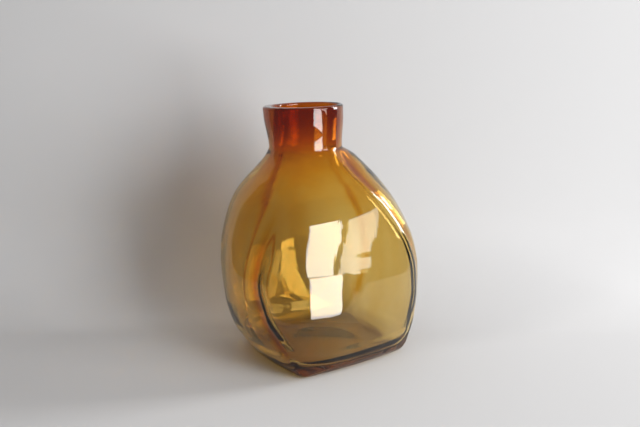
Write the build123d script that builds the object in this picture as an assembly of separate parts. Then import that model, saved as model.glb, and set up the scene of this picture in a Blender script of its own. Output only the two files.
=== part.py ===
from build123d import *
import math
import os
from dataclasses import dataclass

# A blown glass vessel: a square foot, four soft lobes that twist a little between
# creases as they rise, and a short wide neck, all one wall of glass.
# Frame: millimetres, +Z up, the foot rests on Z = 0, and the middle of the
# vessel's box stands on the Z axis. The foot's sides run roughly along X and Y.

# Driving dimensions, in millimetres
vessel_height = 240.0  # from the surface it rests on to the highest side of the rim
neck_height = 40.0  # from the neck's foot to the highest side of the rim
body_width = 190.0  # across the widest part of the body, from crease to crease
base_width = 116.0  # side of the square foot
neck_bore = 62.0  # diameter of the straight hole through the neck
neck_wall = 4.5  # glass at the neck's foot
rim_wall = 6.5  # glass at the rim
body_wall = 3.0  # glass of the lobes
heel_wall = 6.0  # glass where the lobes meet the floor
floor_thickness = 9.0
base_edge_radius = 5.0  # rounding round the foot
rim_bevel = 0.7  # ground edges of the rim, outside and inside
push_up_depth = 3.0  # hollow under the foot, which leaves a ring to rest on
push_up_width = 70.0
neck_offset = 17.0  # the neck's foot stands this far from the middle of the vessel's foot
rim_offset = 19.5  # the outside of the rim leans this far the same way

# Driving angles, in degrees
offset_direction = 143.0  # the way that the body and the neck lean, from +X towards +Y
rim_tilt = 2.0  # the rim's plane rises away from that lean

# Where the wall stops thinning from the heel, and where it starts to thicken towards
# the neck, as shares of the body's height
wall_thins_until = 0.30
wall_thickens_from = 0.80

# The creases, in order, are front left, front right, back right and back left. Each
# one's distance from the axis is this share of the common one.
foot_shares = (1.02, 0.95, 1.05, 0.97)
belly_shares = (1.04, 0.98, 0.98, 1.00)

# How much more steeply than an arc each lobe leaves the crease it starts at and the one
# it ends at, where the body is wide. The front lobe has a nearly flat face.
lobe_edges = ((2.2, 1.18), (1, 1), (1, 1), (1, 1))
steepest_edge = 80.0  # degrees from the line between the two creases

# Level sections that the neck is drawn through, close enough to keep it straight
neck_rings = 5

# The hole reaches this far below the neck's foot, where the cavity is a little
# narrower than the hole, so that the two meet in one clean edge
hole_overlap = 10.0
cavity_lip = 0.6


@dataclass
class Station:
    """One level section of the body."""

    rise: float  # share of the body's height, 0 at the foot and 1 at the neck's foot
    swell: float  # 0 is as wide as the foot, or as the neck, and 1 as the belly
    turns: tuple  # direction of each crease, in degrees from +X
    fullness: tuple  # of the lobe after each crease: 0 flat, 1 round, more bulging


stations = [
    Station(0.000, 0.00, (-140, -40, 40, 131), (0.12, 0.12, 0.12, 0.20)),
    Station(0.075, 0.33, (-145, -40, 35, 124), (0.33, 0.38, 0.30, 0.55)),
    Station(0.180, 0.74, (-153, -40, 29, 114), (0.50, 0.76, 0.55, 0.84)),
    Station(0.300, 0.96, (-160, -39, 24, 106), (0.60, 1.00, 0.75, 0.92)),
    Station(0.425, 1.00, (-163, -41, 21, 99), (0.59, 1.12, 0.90, 0.94)),
    Station(0.550, 0.95, (-160, -47, 21, 96), (0.53, 1.10, 0.98, 0.97)),
    Station(0.675, 0.82, (-155, -56, 23, 93), (0.47, 1.04, 1.00, 0.99)),
    Station(0.775, 0.64, (-150, -63, 25, 92), (0.36, 1.08, 1.10, 1.02)),
    Station(0.850, 0.42, (-148, -66, 27, 93), (0.47, 1.25, 1.20, 1.05)),
    Station(0.910, 0.21, (-147, -65, 29, 97), (0.73, 1.50, 1.20, 1.06)),
    Station(0.960, 0.07, (-147, -63, 31, 101), (1.02, 1.60, 1.10, 1.02)),
    Station(1.000, 0.00, (-147, -61, 33, 105), (1.00, 1.00, 1.00, 1.00)),
]

# Sizes worked out from the driving ones
body_height = vessel_height - neck_height
neck_radius = neck_bore / 2 + neck_wall
rim_radius = neck_bore / 2 + rim_wall
rim_rise = rim_radius * math.tan(math.radians(rim_tilt))
belly_rise = max(stations, key=lambda station: station.swell).rise


def mix(first, second, share):
    """The value this share of the way from the first to the second."""
    return first + (second - first) * share


def mix_all(firsts, seconds, share):
    """The same for two tuples of values."""
    return tuple(mix(first, second, share) for first, second in zip(firsts, seconds))


def station_at(rise):
    """The body's section at this rise, from the two stations beside it."""
    for below, above in zip(stations, stations[1:]):
        if rise <= above.rise:
            share = (rise - below.rise) / (above.rise - below.rise)
            swell = mix(below.swell, above.swell, share)
            turns = mix_all(below.turns, above.turns, share)
            fullness = mix_all(below.fullness, above.fullness, share)
            return Station(rise, swell, turns, fullness)
    return stations[-1]


def crease_distances(station):
    """How far each crease stands from the leaning axis."""
    distances = []
    for foot_share, belly_share in zip(foot_shares, belly_shares):
        if station.rise < belly_rise:
            narrow_end = foot_share * base_width / math.sqrt(2)
        else:
            narrow_end = neck_radius
        distances.append(mix(narrow_end, belly_share * body_width / 2, station.swell))
    return distances


def wall_at(rise):
    """Thickness of the glass, square to its surface."""
    if rise < wall_thins_until:
        return mix(heel_wall, body_wall, rise / wall_thins_until)
    if rise < wall_thickens_from:
        return body_wall
    return mix(body_wall, neck_wall, (rise - wall_thickens_from) / (1 - wall_thickens_from))


def level_wall_at(rise):
    """Thickness of the glass measured level, which is more where the wall slopes."""
    step = 0.02
    below = station_at(max(rise - step, 0))
    above = station_at(min(rise + step, 1))
    mean_run = (sum(crease_distances(above)) - sum(crease_distances(below))) / 4
    climb = (above.rise - below.rise) * body_height
    return wall_at(rise) * math.hypot(mean_run, climb) / climb


def lean_towards(distance):
    """A level vector of this length, the way that the vessel leans."""
    return Vector(distance, 0).rotate(Axis.Z, offset_direction)


def lean_at(rise):
    """Middle of a section, which moves over from the foot's middle to the neck's."""
    return lean_towards(neck_offset * rise**2)


def lobe(start, crown, end, edges=(1, 1)):
    """A curve through these points that leaves its ends as an arc does, times the edges."""
    chord = end - start
    bulge = crown - (start + end) / 2
    arc_turn = 2 * math.degrees(math.atan2(2 * bulge.length, chord.length))
    start_turn, end_turn = (min(arc_turn * edge, steepest_edge) for edge in edges)
    climb = math.sin(math.radians(start_turn)) + math.sin(math.radians(end_turn))
    handle = chord.normalized() * (bulge.length / (0.375 * climb))
    side = math.copysign(1, chord.cross(bulge).Z)
    start_handle = start + handle.rotate(Axis.Z, side * start_turn)
    end_handle = end - handle.rotate(Axis.Z, -side * end_turn)
    return Bezier(start, start_handle, end_handle, end)


def level_face(curves, height):
    """The face inside these curves, raised to this height."""
    return Face(Wire(curves)).moved(Location((0, 0, height)))


def body_section(station, inset):
    """The body's level face at a station, with each crease drawn in by the inset."""
    middle = lean_at(station.rise)
    distances = [distance - inset for distance in crease_distances(station)]
    creases = []
    for distance, turn in zip(distances, station.turns):
        creases.append(middle + Vector(distance, 0).rotate(Axis.Z, turn))
    lobes = []
    boldness = min(1, 2 * station.swell)
    for index, fullness in enumerate(station.fullness):
        following = (index + 1) % len(creases)
        start = creases[index]
        end = creases[following]
        outward = (start + end) / 2 - middle
        round_bulge = (distances[index] + distances[following]) / 2 - outward.length
        crown = (start + end) / 2 + outward.normalized() * (fullness * round_bulge)
        edges = mix_all((1, 1), lobe_edges[index], boldness)
        lobes.append(lobe(start, crown, end, edges))
    return level_face(lobes, station.rise * body_height)


def round_section(middle, radius, height):
    """A level disc whose edge is split where the creases run out in the neck."""
    quarters = []
    turns = stations[-1].turns
    for start_turn, end_turn in zip(turns, turns[1:] + (turns[0] + 360,)):
        points = []
        for turn in (start_turn, (start_turn + end_turn) / 2, end_turn):
            points.append(middle + Vector(radius, 0).rotate(Axis.Z, turn))
        quarters.append(lobe(*points))
    return level_face(quarters, height)


def neck_section(share):
    """The outside of the neck at this share of the way from its foot to its top."""
    middle = lean_towards(mix(neck_offset, rim_offset, share))
    height = body_height + share * (neck_height + rim_rise)
    return round_section(middle, mix(neck_radius, rim_radius, share), height)


def outside():
    """The outer form, from the foot to a little past the rim."""
    sections = [body_section(station, 0) for station in stations]
    for ring in range(1, neck_rings + 1):
        sections.append(neck_section(ring / neck_rings))
    return loft(sections)


def rim_plane():
    """The plane of the rim, whose highest side is at the vessel's full height."""
    middle = lean_towards(rim_offset) + Vector(0, 0, vessel_height - rim_rise)
    upward = Vector(0, 0, 1) + lean_towards(math.tan(math.radians(rim_tilt)))
    return Plane(middle, z_dir=upward)


def rim_ring():
    """What is ground away round the outside of the rim, at 45 degrees."""
    depth = 4 * rim_bevel
    base = Plane(rim_plane().origin - rim_plane().z_dir * depth, z_dir=rim_plane().z_dir)
    align = (Align.CENTER, Align.CENTER, Align.MIN)
    flat_radius = rim_radius - rim_bevel
    blank = Cylinder(rim_radius + 3 * depth, 2 * depth, align=align)
    kept = Cone(flat_radius + depth, flat_radius - depth, 2 * depth, align=align)
    return base * (blank - kept)


def push_up():
    """The shallow dome pressed into the foot, the top of a ball turned on its side."""
    radius = (push_up_width**2 / 4 + push_up_depth**2) / (2 * push_up_depth)
    ball = Sphere(radius, rotation=(0, 90, 0))
    return ball.moved(Location((0, 0, push_up_depth - radius)))


def cavity():
    """The room inside the lobes, from the floor to the neck's foot."""
    floor_rise = floor_thickness / body_height
    rises = [floor_rise]
    for station in stations:
        if floor_rise * 1.5 < station.rise < 1:
            rises.append(station.rise)
    sections = [body_section(station_at(rise), level_wall_at(rise)) for rise in rises]
    top_radius = neck_bore / 2 - cavity_lip
    sections.append(round_section(lean_towards(neck_offset), top_radius, body_height))
    return loft(sections)


def neck_hole():
    """The straight hole from the cavity out past the rim."""
    start = lean_towards(neck_offset) + Vector(0, 0, body_height - hole_overlap)
    align = (Align.CENTER, Align.CENTER, Align.MIN)
    return Cylinder(neck_bore / 2, 2 * neck_height, align=align).moved(Location(start))


def glass_vessel():
    """The whole vessel in its own frame, and how far it was moved to get there."""
    form = outside()
    foot_edges = form.edges().group_by(Axis.Z)[0]
    form = fillet(foot_edges, base_edge_radius) - push_up()
    form = split(form, bisect_by=rim_plane(), keep=Keep.BOTTOM)
    vessel = form - rim_ring() - cavity() - neck_hole()
    rim_face = vessel.faces().sort_by(Axis.Z)[-1]
    vessel = chamfer(rim_face.inner_wires()[0].edges(), rim_bevel)
    box_middle = vessel.bounding_box().center()
    shift = Vector(-box_middle.X, -box_middle.Y, 0)
    return vessel.moved(Location(shift)), shift


os.makedirs("parts", exist_ok=True)
vessel, shift = glass_vessel()
export_step(vessel, "parts/glass_vessel.step")
neck_axis = lean_towards(neck_offset) + shift
print(f"foot's middle {shift.X:.2f} {shift.Y:.2f}, neck's axis {neck_axis.X:.2f} {neck_axis.Y:.2f}")
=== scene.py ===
"""Looks of a blown amber glass vessel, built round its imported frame.

The vessel is one wall of glass: a square foot, four soft lobes between twisting
creases, and a short thick neck cut flat. The stage is a pale paper sweep, lit by the
panes of a tall window.
"""

import logging
import math
from dataclasses import dataclass, field
from enum import Enum

import bpy
import numpy as np
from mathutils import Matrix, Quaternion, Vector, noise


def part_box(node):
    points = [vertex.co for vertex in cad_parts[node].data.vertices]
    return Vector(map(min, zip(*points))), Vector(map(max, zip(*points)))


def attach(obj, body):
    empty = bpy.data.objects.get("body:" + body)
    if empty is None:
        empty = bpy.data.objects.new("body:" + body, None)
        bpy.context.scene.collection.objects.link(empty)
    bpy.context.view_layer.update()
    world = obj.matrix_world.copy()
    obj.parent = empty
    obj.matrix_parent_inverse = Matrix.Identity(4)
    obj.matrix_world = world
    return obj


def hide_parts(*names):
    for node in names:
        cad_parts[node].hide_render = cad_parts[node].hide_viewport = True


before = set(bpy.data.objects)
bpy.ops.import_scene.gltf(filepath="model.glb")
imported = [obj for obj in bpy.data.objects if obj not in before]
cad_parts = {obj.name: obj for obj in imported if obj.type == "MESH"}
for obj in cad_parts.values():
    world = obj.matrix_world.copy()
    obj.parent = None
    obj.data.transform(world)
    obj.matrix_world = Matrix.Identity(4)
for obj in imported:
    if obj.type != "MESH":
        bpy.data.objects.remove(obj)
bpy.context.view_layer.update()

log = logging.getLogger("glass_vessel")

MM = 0.001
CAD_NODE = "glass_vessel"
CAD_BODY = "root"
GLASS_SLOT = "amber_glass"
VIEW_AZIMUTH = -37.0

# a crease spreads this much wider inside the wall, and in its deeper colour and painted shade
RIDGE_SPREAD = 1.7
COLOUR_SPREAD = 1.15

Four = tuple[float, float, float, float]


class Skin(Enum):
    """The two surfaces of the glass wall."""

    OUTER = "outer"
    INNER = "inner"


def smooth_between(knots: np.ndarray, values: np.ndarray, where: np.ndarray) -> np.ndarray:
    """Draws a smooth curve through values without overshooting them.

    Args:
        knots: Rising positions of the known values, shape (n,).
        values: Known values, shape (n, columns).
        where: Positions to read, shape (m,).

    Returns:
        The curve at each position, shape (m, columns).
    """
    gaps = np.diff(knots)[:, None]
    slopes = np.diff(values, axis=0) / gaps
    tangents = np.zeros_like(values)
    before, after = slopes[:-1], slopes[1:]
    same_way = before * after > 0
    weight_before = 2 * gaps[1:] + gaps[:-1]
    weight_after = gaps[1:] + 2 * gaps[:-1]
    with np.errstate(divide="ignore", invalid="ignore"):
        blended = (weight_before + weight_after) / (weight_before / before + weight_after / after)
    tangents[1:-1] = np.where(same_way, blended, 0.0)
    tangents[0] = slopes[0]
    tangents[-1] = slopes[-1]
    index = np.clip(np.searchsorted(knots, where) - 1, 0, len(knots) - 2)
    gap = gaps[index]
    t = (where - knots[index])[:, None] / gap
    low, high = values[index], values[index + 1]
    rise, fall = tangents[index] * gap, tangents[index + 1] * gap
    return (
        (2 * t**3 - 3 * t**2 + 1) * low
        + (t**3 - 2 * t**2 + t) * rise
        + (3 * t**2 - 2 * t**3) * high
        + (t**3 - t**2) * fall
    )


def ease(low: float, high: float, value: np.ndarray) -> np.ndarray:
    """Rises smoothly from 0 at low to 1 at high."""
    t = np.clip((value - low) / (high - low), 0.0, 1.0)
    return t * t * (3 - 2 * t)


def hump(middle: float, reach: float, value: np.ndarray | float) -> np.ndarray | float:
    """Bell curve that is 1 at its middle and has fallen to 1 / e at its reach."""
    return np.exp(-(((value - middle) / reach) ** 2))


@dataclass(frozen=True)
class Station:
    """One level section of the body.

    Attributes:
        rise: Share of the body's height, 0 at the foot and 1 at the neck's foot.
        swell: 0 is as wide as the foot or the neck, and 1 as the belly.
        turns: Direction of each crease, in degrees from +X.
        fullness: Of the lobe after each crease: 0 flat, 1 round, more bulging.
    """

    rise: float
    swell: float
    turns: Four
    fullness: Four


STATIONS = (
    Station(0.000, 0.00, (-140, -40, 40, 131), (0.12, 0.12, 0.12, 0.20)),
    Station(0.075, 0.33, (-145, -40, 35, 124), (0.33, 0.38, 0.30, 0.55)),
    Station(0.180, 0.74, (-153, -40, 29, 114), (0.50, 0.76, 0.55, 0.84)),
    Station(0.300, 0.96, (-160, -39, 24, 106), (0.60, 1.00, 0.75, 0.92)),
    Station(0.425, 1.00, (-163, -41, 21, 99), (0.59, 1.12, 0.90, 0.94)),
    Station(0.550, 0.95, (-160, -47, 21, 96), (0.53, 1.10, 0.98, 0.97)),
    Station(0.675, 0.82, (-155, -56, 23, 93), (0.47, 1.04, 1.00, 0.99)),
    Station(0.775, 0.64, (-150, -63, 25, 92), (0.36, 1.08, 1.10, 1.02)),
    Station(0.850, 0.42, (-148, -66, 27, 93), (0.47, 1.25, 1.20, 1.05)),
    Station(0.910, 0.21, (-147, -65, 29, 97), (0.73, 1.50, 1.20, 1.06)),
    Station(0.960, 0.07, (-147, -63, 31, 101), (1.02, 1.60, 1.10, 1.02)),
    Station(1.000, 0.00, (-147, -61, 33, 105), (1.00, 1.00, 1.00, 1.00)),
)


@dataclass(frozen=True)
class Crease:
    """A pinched line where two lobes meet.

    Attributes:
        groove: Depth of the valley outside.
        ridge: Extra glass that gathers inside.
        width: Half width of the valley.
        heights: Where it fades in, is full from, is full to, and has faded out.
        darkness: How much the colour deepens along it, partly for the glass that gathers in the crease
            and partly as painted shade for the dark band that refraction draws along it.
    """

    groove: float
    ridge: float
    width: float
    heights: Four
    darkness: float

    def strength(self, z: np.ndarray) -> np.ndarray:
        """How strong the crease is at each height, from 0 to 1."""
        low, full_from, full_to, high = self.heights
        return ease(low, full_from, z) * (1 - ease(full_to, high, z))

    def pull(self, gap: np.ndarray, z: float, skin: Skin) -> np.ndarray:
        """How far the crease draws a surface in.

        Args:
            gap: Distance of each point from the crease, along its ring.
            z: Height of the ring.
            skin: Which surface it is.

        Returns:
            The depth of the groove or the ridge at each point.
        """
        depth, width = self.groove, self.width
        if skin is Skin.INNER:
            depth, width = self.ridge, self.width * RIDGE_SPREAD
        return depth * self.strength(np.array(z)) * hump(0.0, width, gap)


@dataclass(frozen=True)
class Waver:
    """One grain of the unevenness that hand blowing leaves in the wall.

    Attributes:
        size: Width of its waves.
        height: How far they stand out.
        upright: How tightly the waves follow each other upwards, where 1 is the same
            as round the wall.
        shift: Where in the noise it starts.
    """

    size: float
    height: float
    upright: float
    shift: float

    def at(self, points: np.ndarray) -> np.ndarray:
        """Reads the grain.

        Args:
            points: Positions, shape (n, 3).

        Returns:
            How far the wall stands out at each.
        """
        scale = 1 / self.size
        squashed = [(x * scale + self.shift, y * scale, z * scale * self.upright) for x, y, z in points]
        return self.height * np.array([noise.noise(Vector(place)) for place in squashed])


@dataclass(frozen=True)
class AmberGlass:
    """Amber glass whose colour lies in a thin skin over paler glass.

    Attributes:
        ior: Refractive index.
        absorbed_colour: Colour that the body of the glass lets through.
        density: Absorption per metre of the colours that it keeps.
        drawn_out: Scale of the streaks and ripples along the height, below 1 for
            marks that run upwards.
        streak_scale: How many colour streaks there are in a metre.
        streak_depth: How far a streak changes the colour's depth.
        ripple_scale: How many fine ripples there are in a metre.
        ripple_height: Height of the fine ripples, in metres.
        tints: Colour of the skin against its depth, from palest to deepest.
    """

    ior: float = 1.5
    absorbed_colour: Four = (0.82, 0.64, 0.05, 1.0)
    density: float = 46.0
    drawn_out: float = 0.22
    streak_scale: float = 26.0
    streak_depth: float = 0.36
    ripple_scale: float = 160.0
    ripple_height: float = 0.06 * MM
    tints: tuple[tuple[float, Four], ...] = (
        (0.0, (1.0, 0.93, 0.70, 1)),
        (0.25, (0.90, 0.735, 0.34, 1)),
        (0.5, (0.87, 0.55, 0.07, 1)),
        (0.75, (0.68, 0.26, 0.02, 1)),
        (1.0, (0.42, 0.085, 0.008, 1)),
    )

    def material(self) -> bpy.types.Material:
        """Makes the glass material.

        Returns:
            A material with a tinted, rippled surface and an absorbing volume.
        """
        made = bpy.data.materials.new(GLASS_SLOT)
        made.use_nodes = True
        tree = made.node_tree
        shader = tree.nodes["Principled BSDF"]
        shader.inputs["Transmission Weight"].default_value = 1.0
        shader.inputs["IOR"].default_value = self.ior
        shader.inputs["Roughness"].default_value = 0.0
        place = tree.nodes.new("ShaderNodeTexCoord")
        upward = tree.nodes.new("ShaderNodeMapping")
        upward.inputs["Scale"].default_value = (1, 1, self.drawn_out)
        tree.links.new(place.outputs["Object"], upward.inputs["Vector"])
        marks = upward.outputs["Vector"]
        tree.links.new(self.tint(tree, marks), shader.inputs["Base Color"])
        tree.links.new(self.ripples(tree, marks), shader.inputs["Normal"])
        volume = tree.nodes.new("ShaderNodeVolumeAbsorption")
        volume.inputs["Color"].default_value = self.absorbed_colour
        volume.inputs["Density"].default_value = self.density
        tree.links.new(volume.outputs["Volume"], tree.nodes["Material Output"].inputs["Volume"])
        return made

    def tint(self, tree: bpy.types.NodeTree, marks: bpy.types.NodeSocket) -> bpy.types.NodeSocket:
        """Adds the colour of the skin.

        Args:
            tree: The glass material's nodes.
            marks: Position, drawn out along the height.

        Returns:
            The socket that gives the colour.
        """
        streaks = tree.nodes.new("ShaderNodeTexNoise")
        streaks.inputs["Scale"].default_value = self.streak_scale
        streaks.inputs["Detail"].default_value = 4.0
        streaks.inputs["Distortion"].default_value = 0.6
        tree.links.new(marks, streaks.inputs["Vector"])
        centred = tree.nodes.new("ShaderNodeMath")
        centred.operation = "MULTIPLY_ADD"
        centred.inputs[1].default_value = self.streak_depth
        centred.inputs[2].default_value = -self.streak_depth / 2
        tree.links.new(streaks.outputs["Fac"], centred.inputs[0])
        # the depth read here carries painted shade on the side away from the window and along the
        # creases, besides the glass's own colour
        depth = tree.nodes.new("ShaderNodeAttribute")
        depth.attribute_name = "colour_and_shade_depth"
        summed = tree.nodes.new("ShaderNodeMath")
        summed.operation = "ADD"
        tree.links.new(depth.outputs["Fac"], summed.inputs[0])
        tree.links.new(centred.outputs["Value"], summed.inputs[1])
        ramp = tree.nodes.new("ShaderNodeValToRGB")
        first, last = ramp.color_ramp.elements
        first.position, first.color = self.tints[0]
        last.position, last.color = self.tints[-1]
        for position, colour in self.tints[1:-1]:
            ramp.color_ramp.elements.new(position).color = colour
        tree.links.new(summed.outputs["Value"], ramp.inputs["Fac"])
        return ramp.outputs["Color"]

    def ripples(self, tree: bpy.types.NodeTree, marks: bpy.types.NodeSocket) -> bpy.types.NodeSocket:
        """Adds the finest ripples of the surface.

        Args:
            tree: The glass material's nodes.
            marks: Position, drawn out along the height.

        Returns:
            The socket that gives the rippled normal.
        """
        fine = tree.nodes.new("ShaderNodeTexNoise")
        fine.inputs["Scale"].default_value = self.ripple_scale
        fine.inputs["Detail"].default_value = 2.0
        tree.links.new(marks, fine.inputs["Vector"])
        bump = tree.nodes.new("ShaderNodeBump")
        bump.inputs["Strength"].default_value = 1.0
        bump.inputs["Distance"].default_value = self.ripple_height
        tree.links.new(fine.outputs["Fac"], bump.inputs["Height"])
        return bump.outputs["Normal"]


@dataclass
class RingStack:
    """Rings of points that make up a wall, each joined to the one before.

    Attributes:
        columns: How many points each ring has.
        rings: Complex points x + iy of each ring.
        heights: Height of each of those points.
    """

    columns: int
    rings: list[np.ndarray] = field(default_factory=list)
    heights: list[np.ndarray] = field(default_factory=list)

    def add(self, ring: np.ndarray, z: np.ndarray | float) -> None:
        """Adds a ring that is level, or has a height for each point."""
        self.rings.append(ring)
        self.heights.append(np.broadcast_to(np.asarray(z, float), (self.columns,)).copy())

    def points(self) -> np.ndarray:
        """All points, ring by ring, shape (n, 3)."""
        flat = np.concatenate(self.rings)
        return np.stack([flat.real, flat.imag, np.concatenate(self.heights)], 1)

    def faces(self) -> list[tuple[int, ...]]:
        """Joins the rings, and closes both ends.

        Returns:
            Faces by their points' places, where the two places after the last ring are
            the middle points of the first and the last ring.
        """
        faces: list[tuple[int, ...]] = []
        following = [(column + 1) % self.columns for column in range(self.columns)]
        for start in range(0, (len(self.rings) - 1) * self.columns, self.columns):
            for column, beside in enumerate(following):
                a, b = start + column, start + beside
                faces.append((a, b, b + self.columns, a + self.columns))
        first_pole = len(self.rings) * self.columns
        last_ring = first_pole - self.columns
        for column, beside in enumerate(following):
            faces.append((first_pole, beside, column))
            faces.append((first_pole + 1, last_ring + column, last_ring + beside))
        return faces


@dataclass(frozen=True)
class RingCounts:
    """How many rings each stretch of the wall has, from the underside to the floor."""

    underside: int = 14
    foot_edge: int = 9
    outside: int = 116
    neck: int = 26
    rim_outer_edge: int = 6
    rim_inner_edge: int = 7
    inside: int = 108
    heel: int = 10
    floor: int = 16


@dataclass
class GlassVessel:
    """The vessel: foot, lobes, shoulder, neck and rim in one closed wall of glass.

    Lengths are in metres and angles in degrees. The wall is a stack of rings, from the
    underside's middle out to the foot, up the outside, over the rim, down the inside
    and in to the middle of the floor.

    Attributes:
        height: From the floor to the highest side of the rim.
        neck_height: Height of the neck.
        body_width: Across the widest part of the body, from crease to crease.
        base_width: Side of the square foot.
        neck_bore: Diameter of the straight hole through the neck.
        neck_wall: Glass at the neck's foot.
        rim_wall: Glass at the rim.
        body_wall: Glass of the lobes.
        heel_wall: Glass where the lobes meet the foot.
        floor_thickness: Glass under the inside's floor.
        foot_rounding: Radius of the foot's edge.
        rim_rounding: Radius of the rim's two edges.
        floor_rounding: Radius where the inside meets its floor.
        waist: How far the outside is drawn in round the neck's foot.
        waist_height: Height of the narrowest place.
        waist_reach: How far above and below it the waist reaches.
        push_up_depth: Height of the hollow under the foot.
        push_up_width: Width of that hollow.
        neck_offset: How far the neck's hole stands off the foot's middle.
        rim_offset: How far the rim's outline stands off it.
        offset_direction: The way that both stand off, from +X.
        rim_tilt: Slope of the rim, which is lowest on the side that it leans to.
        wall_thins_until: Share of the body's height where the heel's wall ends.
        wall_thickens_from: Share from which the wall grows towards the neck.
        foot_shares: Size of each of the foot's corners against a true square's.
        belly_shares: Size of each crease's belly against half the body's width.
        lobe_edges: How much more steeply than an arc each lobe leaves its two creases.
        steepest_edge: Steepest way that a lobe may leave a crease.
        creases: The pinched lines, one for each of the four creases.
        wavers: The grains of its unevenness.
        still_foot: Heights below which it keeps still and from which it wavers.
        still_rim: Heights up to which it wavers and above which it keeps still.
        soft_foot: Radius over which the foot's corners are rounded.
        soft_outside: The same for the outer creases, low and high in the body.
        soft_inside: The same for the inner creases, low and high in the body.
        depth_heights: Heights at which the colour's depth is known.
        depths: Depth of the colour at those heights.
        shaded_side_darkening: Painted shade: how much deeper the colour is on the side that it leans
            to, away from the window, and how much paler on the window's side.
        lobe_columns: How many columns of points each lobe has.
        dense: How many points each lobe's curve is drawn with.
        counts: How many rings there are.
        finish: The glass.
    """

    height: float
    neck_height: float = 40 * MM
    body_width: float = 190 * MM
    base_width: float = 116 * MM
    neck_bore: float = 62 * MM
    neck_wall: float = 4.5 * MM
    rim_wall: float = 6.5 * MM
    body_wall: float = 3 * MM
    heel_wall: float = 6 * MM
    floor_thickness: float = 9 * MM
    foot_rounding: float = 7 * MM
    rim_rounding: float = 2.2 * MM
    floor_rounding: float = 18 * MM
    waist: float = 1.5 * MM
    waist_height: float = 205 * MM
    waist_reach: float = 15 * MM
    push_up_depth: float = 3 * MM
    push_up_width: float = 70 * MM
    neck_offset: float = 17 * MM
    rim_offset: float = 19.5 * MM
    offset_direction: float = 143.0
    rim_tilt: float = 2.0
    wall_thins_until: float = 0.30
    wall_thickens_from: float = 0.80
    foot_shares: Four = (1.02, 0.95, 1.05, 0.97)
    belly_shares: Four = (1.04, 0.98, 0.98, 1.00)
    lobe_edges: tuple[tuple[float, float], ...] = ((2.2, 1.18), (1, 1), (1, 1), (1, 1))
    steepest_edge: float = 80.0
    # each crease's last value deepens its colour, partly for gathered glass and partly as painted shade
    creases: tuple[Crease, ...] = (
        Crease(1.1 * MM, 3.2 * MM, 5.0 * MM, (0.012, 0.030, 0.100, 0.160), 0.50),
        Crease(1.1 * MM, 2.6 * MM, 4.8 * MM, (0.020, 0.050, 0.180, 0.198), 0.52),
        Crease(0.8 * MM, 2.0 * MM, 5.0 * MM, (0.020, 0.040, 0.150, 0.190), 0.32),
        Crease(1.2 * MM, 2.8 * MM, 4.6 * MM, (0.015, 0.035, 0.175, 0.198), 0.44),
    )
    wavers: tuple[Waver, ...] = (
        Waver(55 * MM, 0.34 * MM, 0.55, 3.1),
        Waver(19 * MM, 0.20 * MM, 0.45, 7.7),
        Waver(9 * MM, 0.06 * MM, 0.35, 11.3),
    )
    still_foot: tuple[float, float] = (6 * MM, 20 * MM)
    still_rim: tuple[float, float] = (225 * MM, 236 * MM)
    soft_foot: float = 3 * MM
    soft_outside: tuple[float, float] = (1.5 * MM, 3.5 * MM)
    soft_inside: tuple[float, float] = (6 * MM, 3 * MM)
    depth_heights: tuple[float, ...] = (0.0, 0.02, 0.05, 0.10, 0.15, 0.175, 0.195, 0.210, 0.225, 0.240)
    depths: tuple[float, ...] = (0.30, 0.28, 0.24, 0.24, 0.33, 0.46, 0.66, 0.82, 0.97, 1.0)
    # painted shade: the colour deepens on the side away from the window and pales on the window's side
    shaded_side_darkening: float = 0.08
    lobe_columns: int = 68
    dense: int = 240
    counts: RingCounts = RingCounts()
    finish: AmberGlass = field(default_factory=AmberGlass)

    @property
    def body_height(self) -> float:
        """Height of the neck's foot."""
        return self.height - self.neck_height

    @property
    def bore_radius(self) -> float:
        """Radius of the straight hole through the neck."""
        return self.neck_bore / 2

    @property
    def neck_radius(self) -> float:
        """Outside radius at the neck's foot."""
        return self.bore_radius + self.neck_wall

    @property
    def rim_radius(self) -> float:
        """Outside radius at the rim."""
        return self.bore_radius + self.rim_wall

    @property
    def towards(self) -> complex:
        """The way that the vessel leans, x + iy."""
        return np.exp(1j * math.radians(self.offset_direction))

    def crease_table(self) -> tuple[np.ndarray, np.ndarray]:
        """Distances, directions and fullness at every station.

        Returns:
            The stations' heights, and a table with 4 distances, 4 turns and 4 values
            of fullness in each row.
        """
        belly_rise = max(STATIONS, key=lambda station: station.swell).rise
        rows = []
        for station in STATIONS:
            distances = []
            for foot_share, belly_share in zip(self.foot_shares, self.belly_shares):
                narrow = self.neck_radius
                if station.rise < belly_rise:
                    narrow = foot_share * self.base_width / math.sqrt(2)
                wide = belly_share * self.body_width / 2
                distances.append(narrow + (wide - narrow) * station.swell)
            rows.append([*distances, *station.turns, *station.fullness])
        heights = np.array([station.rise for station in STATIONS]) * self.body_height
        return heights, np.array(rows, float)

    def lean(self, z: np.ndarray) -> np.ndarray:
        """Middle of each section as a complex number, x + iy."""
        share = np.clip(z / self.body_height, 0, 1)
        up_neck = np.clip((z - self.body_height) / self.neck_height, 0, 1)
        in_neck = (self.rim_offset - self.neck_offset) * up_neck
        return self.towards * (self.neck_offset * share**2 + in_neck)

    def wall(self, z: np.ndarray) -> np.ndarray:
        """Thickness of the glass square to its surface, at each height."""
        rise = np.clip(z / self.body_height, 0, 1)
        heel = self.heel_wall + (self.body_wall - self.heel_wall) * rise / self.wall_thins_until
        up = np.clip((rise - self.wall_thickens_from) / (1 - self.wall_thickens_from), 0, 1)
        upper = self.body_wall + (self.neck_wall - self.body_wall) * up
        return np.where(rise < self.wall_thins_until, heel, upper)

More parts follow.
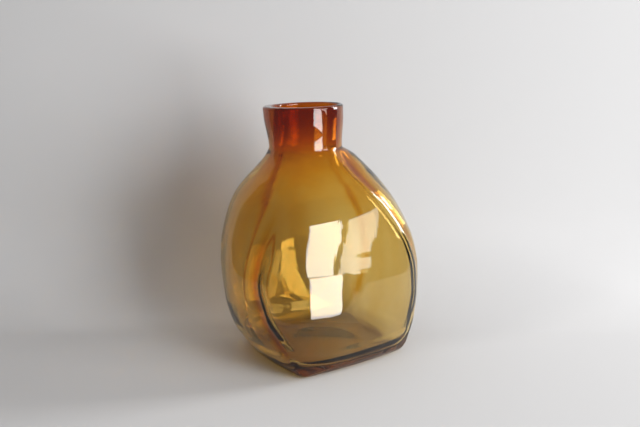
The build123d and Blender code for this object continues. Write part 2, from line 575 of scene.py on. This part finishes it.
    def inset(self, z: np.ndarray) -> np.ndarray:
        """How far inside the outer creases the inner ones lie.

        Args:
            z: Heights.

        Returns:
            The wall, measured along the level where the surface slopes, at each height.
        """
        heights, table = self.crease_table()
        step = 2 * MM
        above, below = (
            smooth_between(heights, table, np.clip(level, 0, self.body_height))[:, :4].mean(1)
            for level in (z + step, z - step)
        )
        gradient = (above - below) / (2 * step)
        level_wall = self.wall(z) * np.hypot(1, gradient)
        in_neck = np.minimum(level_wall, self.neck_wall)
        return np.where(z > 0.97 * self.body_height, in_neck, level_wall)

    def waisting(self, z: np.ndarray | float) -> np.ndarray | float:
        """How far the outside is drawn in round the neck's foot, at each height."""
        return self.waist * hump(self.waist_height, self.waist_reach, z)

    def outlines(self, z: np.ndarray, inset: np.ndarray, soften: np.ndarray) -> np.ndarray:
        """Level outlines of the body.

        Args:
            z: Height of each ring.
            inset: How far each ring's creases are drawn in.
            soften: Radius over which each ring's creases are rounded.

        Returns:
            Complex points x + iy, shape (rings, 4 * lobe_columns).
        """
        heights, table = self.crease_table()
        values = smooth_between(heights, table, np.clip(z, 0, self.body_height))
        result = np.zeros((len(z), 4 * self.lobe_columns), complex)
        for row, (value, middle) in enumerate(zip(values, self.lean(z))):
            distances = value[0:4] - inset[row]
            corners = middle + distances * np.exp(1j * np.radians(value[4:8]))
            lobes = []
            for side in range(4):
                start, end = corners[side], corners[(side + 1) % 4]
                outward = (start + end) / 2 - middle
                mean = (distances[side] + distances[(side + 1) % 4]) / 2
                bulge = value[8 + side] * (mean - abs(outward))
                lobes.append(self.lobe(start, end, outward, bulge, self.edges(side, z[row])))
            result[row] = self.read_ring(np.concatenate(lobes), soften[row])
        return result

    def edges(self, side: int, z: float) -> tuple[float, float]:
        """How much more steeply than an arc a lobe leaves its two creases.

        Args:
            side: Which lobe.
            z: Height of the section.

        Returns:
            The factor at the lobe's first and at its second crease.
        """
        heights = [station.rise * self.body_height for station in STATIONS]
        swell = np.interp(z, heights, [station.swell for station in STATIONS])
        boldness = min(1.0, 2 * swell)
        first, second = self.lobe_edges[side]
        return 1 + (first - 1) * boldness, 1 + (second - 1) * boldness

    def lobe(self, start: complex, end: complex, outward: complex, bulge: float,
             edges: tuple[float, float]) -> np.ndarray:
        """Points along one lobe.

        Args:
            start: The crease that it leaves.
            end: The crease that it reaches.
            outward: The way it bulges.
            bulge: How far its middle stands out from the line between the two.
            edges: How much more steeply than an arc it leaves each.

        Returns:
            Complex points, without the last.
        """
        chord = end - start
        arc_turn = 2 * math.atan2(2 * bulge, abs(chord))
        steepest = math.radians(self.steepest_edge)
        leave, arrive = (min(arc_turn * edge, steepest) for edge in edges)
        handle = chord / abs(chord) * bulge / (0.375 * (math.sin(leave) + math.sin(arrive)))
        side = math.copysign(1, (outward / chord).imag)
        first = start + handle * np.exp(1j * side * leave)
        second = end - handle * np.exp(-1j * side * arrive)
        t = np.linspace(0, 1, self.dense, endpoint=False)
        near_start = (1 - t) ** 3 * start + 3 * (1 - t) ** 2 * t * first
        return near_start + 3 * (1 - t) * t**2 * second + t**3 * end

    def read_ring(self, outline: np.ndarray, soften: float) -> np.ndarray:
        """Rounds a dense outline's corners and reads it at the mesh's columns.

        Args:
            outline: Closed outline, with dense points on each lobe.
            soften: Radius of the rounding.

        Returns:
            Complex points, closest together at the creases.
        """
        steps = np.arange(self.lobe_columns) / self.lobe_columns
        columns = 0.6 * steps + 0.4 * (0.5 - 0.5 * np.cos(math.pi * steps))
        closed = np.append(outline, outline[0])
        along = np.concatenate([[0], np.cumsum(np.abs(np.diff(closed)))])
        even = np.linspace(0, along[-1], 4 * self.dense, endpoint=False)
        evened = np.interp(even, along, closed.real) + 1j * np.interp(even, along, closed.imag)
        waves = np.fft.fftfreq(len(even), d=along[-1] / len(even)) * 2 * math.pi
        smooth = np.fft.ifft(np.fft.fft(evened) * np.exp(-((soften * waves) ** 2) / 2))
        wanted = np.concatenate([(side + columns) * self.dense for side in range(4)])
        where = np.interp(wanted, np.arange(len(along)), along)
        wrapped = np.append(smooth, smooth[0])
        places = np.append(even, along[-1])
        return np.interp(where, places, wrapped.real) + 1j * np.interp(where, places, wrapped.imag)

    def pinch(self, ring: np.ndarray, z: float, skin: Skin) -> np.ndarray:
        """Draws a ring in at its creases.

        Args:
            ring: One level outline, with a crease at the start of each quarter.
            z: Its height.
            skin: Which surface it belongs to.

        Returns:
            The ring with its grooves outside, or its ridges inside.
        """
        middle = self.lean(np.array([z]))[0]
        closed = np.append(ring, ring[0])
        along = np.concatenate([[0], np.cumsum(np.abs(np.diff(closed)))])
        length, along = along[-1], along[:-1]
        pull = np.zeros(len(ring))
        for index, crease in enumerate(self.creases):
            gap = np.abs(along - along[index * self.lobe_columns])
            pull += crease.pull(np.minimum(gap, length - gap), z, skin)
        return ring + (middle - ring) / np.abs(middle - ring) * pull

    def neck_level(self, ring: np.ndarray, share: float, below: float = 0.0) -> np.ndarray:
        """Heights of a ring round the neck, which tilts more the nearer it is to the rim.

        Args:
            ring: Its points.
            share: 0 at the neck's foot and 1 at the rim.
            below: How far under the rim's plane its full height is.

        Returns:
            The height of each point.
        """
        slope = math.tan(math.radians(self.rim_tilt))
        along = (ring * np.conj(self.towards)).real - self.rim_offset
        plane = self.height - self.rim_radius * slope - along * slope - below
        return self.body_height + (plane - self.body_height) * share

    def add_underside(self, stack: RingStack) -> None:
        """Adds the push-up and the rounded edge of the foot.

        Args:
            stack: The empty stack.
        """
        edge = self.foot_rounding
        flat = self.outlines(np.zeros(1), np.full(1, edge), np.full(1, self.soft_foot))[0]
        ball = (self.push_up_width**2 / 4 + self.push_up_depth**2) / (2 * self.push_up_depth)
        for share in [*np.linspace(0.03, 0.9, self.counts.underside), 0.95]:
            ring = flat * share
            dome = np.sqrt(np.maximum(ball**2 - np.abs(ring) ** 2, 0)) - (ball - self.push_up_depth)
            stack.add(ring, np.maximum(dome, 0))
        angles = np.radians(np.linspace(0, 90, self.counts.foot_edge))
        z = edge * (1 - np.cos(angles))
        drawn_in = edge * (1 - np.sin(angles))
        for ring, level in zip(self.outlines(z, drawn_in, np.full(len(z), self.soft_foot)), z):
            stack.add(ring, level)

    def add_outside(self, stack: RingStack) -> None:
        """Adds the outside of the lobes, up to the neck's foot.

        Args:
            stack: The stack, complete up to the foot's edge.
        """
        z = np.linspace(self.foot_rounding, self.body_height, self.counts.outside)[1:]
        low_soft, high_soft = self.soft_outside
        soften = low_soft + (high_soft - low_soft) * ease(0.6, 1.0, z / self.body_height)
        for ring, level in zip(self.outlines(z, self.waisting(z), soften), z):
            stack.add(self.pinch(ring, level, Skin.OUTER), level)

    def add_neck(self, stack: RingStack, turn: np.ndarray) -> None:
        """Adds the neck's outside, its rounded rim and its straight hole.

        Args:
            stack: The stack, complete up to the neck's foot.
            turn: Direction of each column, in radians.
        """
        round_off = self.rim_rounding
        unit = np.exp(1j * turn)
        shares = np.linspace(0, 1, self.counts.neck)
        for share in shares[1:]:
            axis = self.towards * (self.neck_offset + (self.rim_offset - self.neck_offset) * share)
            radius = self.neck_radius + (self.rim_radius - self.neck_radius) * share
            radius -= self.waisting(self.body_height + self.neck_height * share)
            ring = axis + radius * unit
            stack.add(ring, self.neck_level(ring, share, round_off))
        rim_axis = self.towards * self.rim_offset
        bore_axis = self.towards * self.neck_offset
        for angle in np.radians(np.linspace(15, 90, self.counts.rim_outer_edge)):
            ring = rim_axis + (self.rim_radius - round_off * (1 - math.cos(angle))) * unit
            stack.add(ring, self.neck_level(ring, 1.0, round_off * (1 - math.sin(angle))))
        outer_edge = ring
        inner_edge = bore_axis + (self.bore_radius + round_off) * unit
        for share in (0.33, 0.67):
            ring = outer_edge + (inner_edge - outer_edge) * share
            stack.add(ring, self.neck_level(ring, 1.0))
        for angle in np.radians(np.linspace(90, 0, self.counts.rim_inner_edge)):
            ring = bore_axis + (self.bore_radius + round_off * (1 - math.cos(angle))) * unit
            stack.add(ring, self.neck_level(ring, 1.0, round_off * (1 - math.sin(angle))))
        for share in shares[-2::-1]:
            ring = bore_axis + self.bore_radius * unit
            stack.add(ring, self.neck_level(ring, share, round_off))

    def add_inside(self, stack: RingStack) -> complex:
        """Adds the inside of the lobes, the rounded heel and the floor.

        Args:
            stack: The stack, complete down to the hole's foot.

        Returns:
            Middle of the floor.
        """
        lowest = self.floor_thickness + self.floor_rounding
        z = np.linspace(self.body_height, lowest, self.counts.inside)[1:]
        low_soft, high_soft = self.soft_inside
        soften = high_soft + (low_soft - high_soft) * (1 - ease(0.0, 0.3, z / self.body_height))
        for ring, level in zip(self.outlines(z, self.inset(z), soften), z):
            low = self.pinch(ring, level, Skin.INNER)
            stack.add(low, level)
        middle = low.mean()
        inward = (low - middle) / np.abs(low - middle)
        for angle in np.radians(np.linspace(0, 90, self.counts.heel))[1:]:
            ring = low - inward * self.floor_rounding * (1 - math.cos(angle))
            stack.add(ring, self.floor_thickness + self.floor_rounding * (1 - math.sin(angle)))
        floor_edge = ring
        for share in np.linspace(0.96, 0.04, self.counts.floor):
            stack.add(middle + (floor_edge - middle) * share, self.floor_thickness)
        return middle

    def waver(self, points: np.ndarray) -> np.ndarray:
        """Moves points a little along the level, as hand-blown glass wavers.

        Args:
            points: Positions, shape (n, 3).

        Returns:
            The moved positions, which keep still at the foot and at the rim.
        """
        z = points[:, 2]
        calm = np.maximum(1 - ease(*self.still_foot, z), ease(*self.still_rim, z))
        middle = self.lean(z)
        out = points[:, :2] - np.stack([middle.real, middle.imag], 1)
        out /= np.maximum(np.linalg.norm(out, axis=1, keepdims=True), 1e-6)
        stands_out = sum(grain.at(points) for grain in self.wavers)
        moved = points.copy()
        moved[:, :2] += out * (stands_out * (1 - calm))[:, None]
        return moved

    def colour_and_shade_depth(self, points: np.ndarray, columns: int) -> np.ndarray:
        """Depth of the glass's colour at each point, with painted shade on the side away from the
        window and along the creases.

        Args:
            points: All points of the mesh, ring by ring, and the two middles.
            columns: How many points each ring has.

        Returns:
            A value for each point, 0 where the glass is palest and 1 where it is deepest or most
            shaded.
        """
        z = points[:, 2]
        depth = np.interp(z, self.depth_heights, self.depths)
        # painted shade: deeper colour on the side away from the window, paler on the window's side
        across = ((points[:, 0] + 1j * points[:, 1]) * np.conj(self.towards)).real
        depth += self.shaded_side_darkening * across / (self.body_width / 2)
        # deeper colour along the creases: partly glass that gathers there, partly painted shade for the
        # dark bands that refraction draws along them
        column = np.arange(len(points)) % columns
        column_width = 1.5 * MM
        for index, crease in enumerate(self.creases):
            gap = np.abs(column - index * self.lobe_columns)
            gap = np.minimum(gap, columns - gap) * column_width
            depth += crease.darkness * crease.strength(z) * hump(0.0, COLOUR_SPREAD * crease.width, gap)
        return depth

    def build(self) -> bpy.types.Object:
        """Builds the closed wall as one mesh object.

        Returns:
            The object, at rest in the frame.
        """
        stack = RingStack(4 * self.lobe_columns)
        self.add_underside(stack)
        self.add_outside(stack)
        turn = np.angle(stack.rings[-1] - self.lean(np.array([self.body_height]))[0])
        self.add_neck(stack, turn)
        middle = self.add_inside(stack)
        underside_middle = [0, 0, self.push_up_depth]
        floor_middle = [middle.real, middle.imag, self.floor_thickness]
        points = np.vstack([self.waver(stack.points()), underside_middle, floor_middle])
        low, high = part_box(CAD_NODE)
        span_low, span_high = points.min(0), points.max(0)
        points[:, 0] += (low.x + high.x - span_low[0] - span_high[0]) / 2
        points[:, 1] += (low.y + high.y - span_low[1] - span_high[1]) / 2
        mesh = bpy.data.meshes.new("vessel_wall")
        mesh.from_pydata(points.tolist(), [], stack.faces())
        # the glass's colour depth together with its painted shade
        depth = mesh.attributes.new("colour_and_shade_depth", "FLOAT", "POINT")
        depth.data.foreach_set("value", self.colour_and_shade_depth(points, stack.columns).astype(np.float32))
        mesh.shade_smooth()
        wall = bpy.data.objects.new("vessel_wall", mesh)
        bpy.context.scene.collection.objects.link(wall)
        return wall

    def dress(self, wall: bpy.types.Object) -> None:
        """Gives the wall its glass and its place in the frame.

        Args:
            wall: The built mesh object.
        """
        wall.data.materials.append(self.finish.material())
        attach(wall, CAD_BODY)
        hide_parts(CAD_NODE)


@dataclass(frozen=True)
class MattPaper:
    """Pale matt paper of the sweep.

    Attributes:
        colour: Colour of its face.
        roughness: How matt it is.
        gloss: Strength of what little it mirrors, where 0.5 is ordinary varnish.
    """

    colour: Four = (0.565, 0.555, 0.55, 1.0)
    roughness: float = 0.9
    gloss: float = 0.2

    def material(self) -> bpy.types.Material:
        """Makes the paper material, which can be seen through from behind the sweep.

        Returns:
            A material that is matt paper on its face and clear on its back.
        """
        made = bpy.data.materials.new("matt_paper")
        made.use_nodes = True
        nodes, links = made.node_tree.nodes, made.node_tree.links
        shader = nodes["Principled BSDF"]
        shader.inputs["Base Color"].default_value = self.colour
        shader.inputs["Roughness"].default_value = self.roughness
        shader.inputs["Specular IOR Level"].default_value = self.gloss
        clear = nodes.new("ShaderNodeBsdfTransparent")
        facing = nodes.new("ShaderNodeNewGeometry")
        either = nodes.new("ShaderNodeMixShader")
        links.new(facing.outputs["Backfacing"], either.inputs["Fac"])
        links.new(shader.outputs["BSDF"], either.inputs[1])
        links.new(clear.outputs["BSDF"], either.inputs[2])
        links.new(either.outputs["Shader"], nodes["Material Output"].inputs["Surface"])
        return made


@dataclass(frozen=True)
class View:
    """The camera's side of the stage.

    Attributes:
        azimuth: Turn of the camera about the vessel, in degrees.
    """

    azimuth: float

    @property
    def right(self) -> Vector:
        """Level direction to the camera's right."""
        turn = math.radians(self.azimuth)
        return Vector((math.cos(turn), math.sin(turn), 0))

    @property
    def away(self) -> Vector:
        """Level direction away from the camera."""
        turn = math.radians(self.azimuth)
        return Vector((-math.sin(turn), math.cos(turn), 0))


@dataclass
class Sweep:
    """Paper that lies under the vessel and curves up behind it.

    Attributes:
        view: The camera's side of the stage.
        wall_distance: From the vessel's axis to the upright part.
        bend: Radius of the curve between floor and wall.
        side_reach: How far it reaches to each side.
        front_reach: How far it reaches towards the camera.
        wall_height: Height of its upper edge.
        drop: How far under the vessel's foot it lies.
        finish: The paper.
    """

    view: View
    wall_distance: float = 0.145
    bend: float = 0.11
    side_reach: float = 0.42
    front_reach: float = 0.27
    wall_height: float = 0.75
    drop: float = 0.3 * MM
    finish: MattPaper = field(default_factory=MattPaper)

    def profile(self) -> list[tuple[float, float]]:
        """The paper's line from front to back.

        Returns:
            Distance away and height of each point.
        """
        line = [(-self.front_reach, 0.0), (self.wall_distance - self.bend, 0.0)]
        for angle in np.radians(np.linspace(0, 90, 25))[1:]:
            away = self.wall_distance - self.bend + self.bend * math.sin(angle)
            line.append((away, self.bend * (1 - math.cos(angle))))
        line.append((self.wall_distance, self.wall_height))
        return line

    def build(self) -> bpy.types.Object:
        """Builds the sweep as one smooth sheet with its face up.

        Returns:
            The sheet, kept out of the exported object.
        """
        line = self.profile()
        points = [
            self.view.right * side + self.view.away * away + Vector((0, 0, z - self.drop))
            for side in (-self.side_reach, self.side_reach)
            for away, z in line
        ]
        count = len(line)
        faces = [(i, i + count, i + count + 1, i + 1) for i in range(count - 1)]
        mesh = bpy.data.meshes.new("paper_sweep")
        mesh.from_pydata([tuple(point) for point in points], [], faces)
        mesh.shade_smooth()
        mesh.materials.append(self.finish.material())
        sweep = bpy.data.objects.new("paper_sweep", mesh)
        bpy.context.scene.collection.objects.link(sweep)
        return sweep


@dataclass(frozen=True)
class Pane:
    """One pane of the window, as seen from the vessel, in degrees.

    Attributes:
        name: What the lamp is called.
        sides: Its left and right edges, to the right of the camera's side.
        levels: Its lower and upper edges above the level.
        radiance: How bright its face is.
        roll: How far its far side hangs lower.
    """

    name: str
    sides: tuple[float, float]
    levels: tuple[float, float]
    radiance: float
    roll: float = 0.0


@dataclass
class Window:
    """A tall window of soft light, made of upright panes.

    Attributes:
        view: The camera's side, from which directions are counted.
        distance: From the vessel's axis to the window's plane.
        middle: Direction of the window's plane, in degrees to the camera's right.
        spread: A pane further than this from the middle hangs in a plane of its own.
        eye_height: Height from which the panes' levels are counted.
        colour: Colour of the light.
        panes: The panes.
    """

    view: View
    distance: float = 1.6
    middle: float = 52.0
    spread: float = 35.0
    eye_height: float = 0.1
    colour: tuple[float, float, float] = (0.97, 0.985, 1.0)
    panes: tuple[Pane, ...] = (
        Pane("pane_low", (30, 54), (-13, 0.2), 12.0, 2.0),
        Pane("pane_tall", (30, 52), (1.2, 34), 11.0, 7.0),
        Pane("pane_far", (55, 73), (-2, 29), 5.5, 11.0),
        Pane("pane_side", (98, 116), (1, 38), 15.0),
    )

    def build(self) -> list[bpy.types.Object]:
        """Hangs every pane.

        Returns:
            The lamps, in the panes' order.
        """
        return [self.hang(pane) for pane in self.panes]

    def hang(self, pane: Pane) -> bpy.types.Object:
        """Hangs one pane so that it faces the vessel.

        Args:
            pane: The pane.

        Returns:
            Its lamp.
        """
        middle = self.middle
        if abs(pane.sides[0] - self.middle) >= self.spread:
            middle = sum(pane.sides) / 2
        left, right = (self.distance * math.tan(math.radians(side - middle)) for side in pane.sides)
        low, high = (self.distance * math.tan(math.radians(level)) for level in pane.levels)
        plane = View(self.view.azimuth + middle)
        data = bpy.data.lights.new(pane.name, "AREA")
        data.shape = "RECTANGLE"
        data.size = right - left
        data.size_y = high - low
        data.energy = pane.radiance * math.pi * data.size * data.size_y
        data.color = self.colour
        lamp = bpy.data.objects.new(pane.name, data)
        lamp.location = plane.right * (left + right) / 2 - plane.away * self.distance
        lamp.location.z = (low + high) / 2 + self.eye_height
        lamp.rotation_mode = "QUATERNION"
        roll = Quaternion((0, 0, 1), -math.radians(pane.roll))
        lamp.rotation_quaternion = (-plane.away).to_track_quat("Z", "Y") @ roll
        bpy.context.scene.collection.objects.link(lamp)
        return lamp


@dataclass
class Ceiling:
    """A wide, soft light over the stage that the glass doesn't mirror.

    Attributes:
        radiance: How bright its face is.
        height: Its height above the floor.
        width: Length of its sides.
    """

    radiance: float = 0.65
    height: float = 1.6
    width: float = 2.2

    def build(self) -> bpy.types.Object:
        """Hangs the light.

        Returns:
            Its lamp.
        """
        data = bpy.data.lights.new("ceiling", "AREA")
        data.shape = "SQUARE"
        data.size = self.width
        data.energy = self.radiance * math.pi * self.width * self.width
        lamp = bpy.data.objects.new("ceiling", data)
        lamp.location = (0, 0, self.height)
        lamp.visible_glossy = False
        bpy.context.scene.collection.objects.link(lamp)
        return lamp


@dataclass
class Room:
    """Dim, even light of the room round the stage.

    Attributes:
        brightness: How bright it is.
        colour: Its colour.
    """

    brightness: float = 0.19
    colour: Four = (1, 1, 1.02, 1)

    def build(self) -> bpy.types.World:
        """Fills the world with the room's light.

        Returns:
            The world.
        """
        world = bpy.data.worlds.new("room")
        world.use_nodes = True
        background = world.node_tree.nodes["Background"]
        background.inputs["Color"].default_value = self.colour
        background.inputs["Strength"].default_value = self.brightness
        bpy.context.scene.world = world
        return world


@dataclass
class Camera:
    """The camera, low in front of the vessel's front left crease.

    Attributes:
        view: Its side of the stage.
        distance: Level distance from the vessel's axis.
        height: Height above the floor.
        side_step: How far it stands to its right.
        pitch: How far it looks down, in degrees.
        lens: Focal length, in millimetres.
        film_width: Width of its film, in millimetres.
    """

    view: View
    distance: float = 0.8369
    height: float = 0.302
    side_step: float = 6.3 * MM
    pitch: float = 11.34
    lens: float = 50.0
    film_width: float = 36.0

    def build(self) -> bpy.types.Object:
        """Places the camera and makes it the scene's own.

        Returns:
            The camera.
        """
        data = bpy.data.cameras.new("camera")
        data.lens = self.lens
        data.sensor_width = self.film_width
        camera = bpy.data.objects.new("camera", data)
        level_place = self.view.right * self.side_step - self.view.away * self.distance
        camera.location = level_place + Vector((0, 0, self.height))
        tip = math.radians(self.pitch)
        forward = self.view.away * math.cos(tip) - Vector((0, 0, math.sin(tip)))
        camera.rotation_mode = "QUATERNION"
        camera.rotation_quaternion = forward.to_track_quat("-Z", "Y")
        bpy.context.scene.collection.objects.link(camera)
        bpy.context.scene.camera = camera
        return camera


def main() -> None:
    """Builds the vessel, its stage, its light and its camera, in order."""
    logging.basicConfig(level=logging.INFO, format="%(name)s: %(message)s")
    low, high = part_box(CAD_NODE)
    vessel = GlassVessel(height=high.z - low.z)
    wall = vessel.build()
    vessel.dress(wall)
    log.info("%s: %d vertices", wall.name, len(wall.data.vertices))
    view = View(VIEW_AZIMUTH)
    sweep = Sweep(view).build()
    log.info("%s: %d faces", sweep.name, len(sweep.data.polygons))
    for lamp in [*Window(view).build(), Ceiling().build()]:
        log.info("%s: %.1f W", lamp.name, lamp.data.energy)
    room = Room().build()
    camera = Camera(view).build()
    log.info("%s and %s are in place", room.name, camera.name)
    bpy.context.scene.view_settings.view_transform = "Standard"


if __name__ == "__main__":
    main()
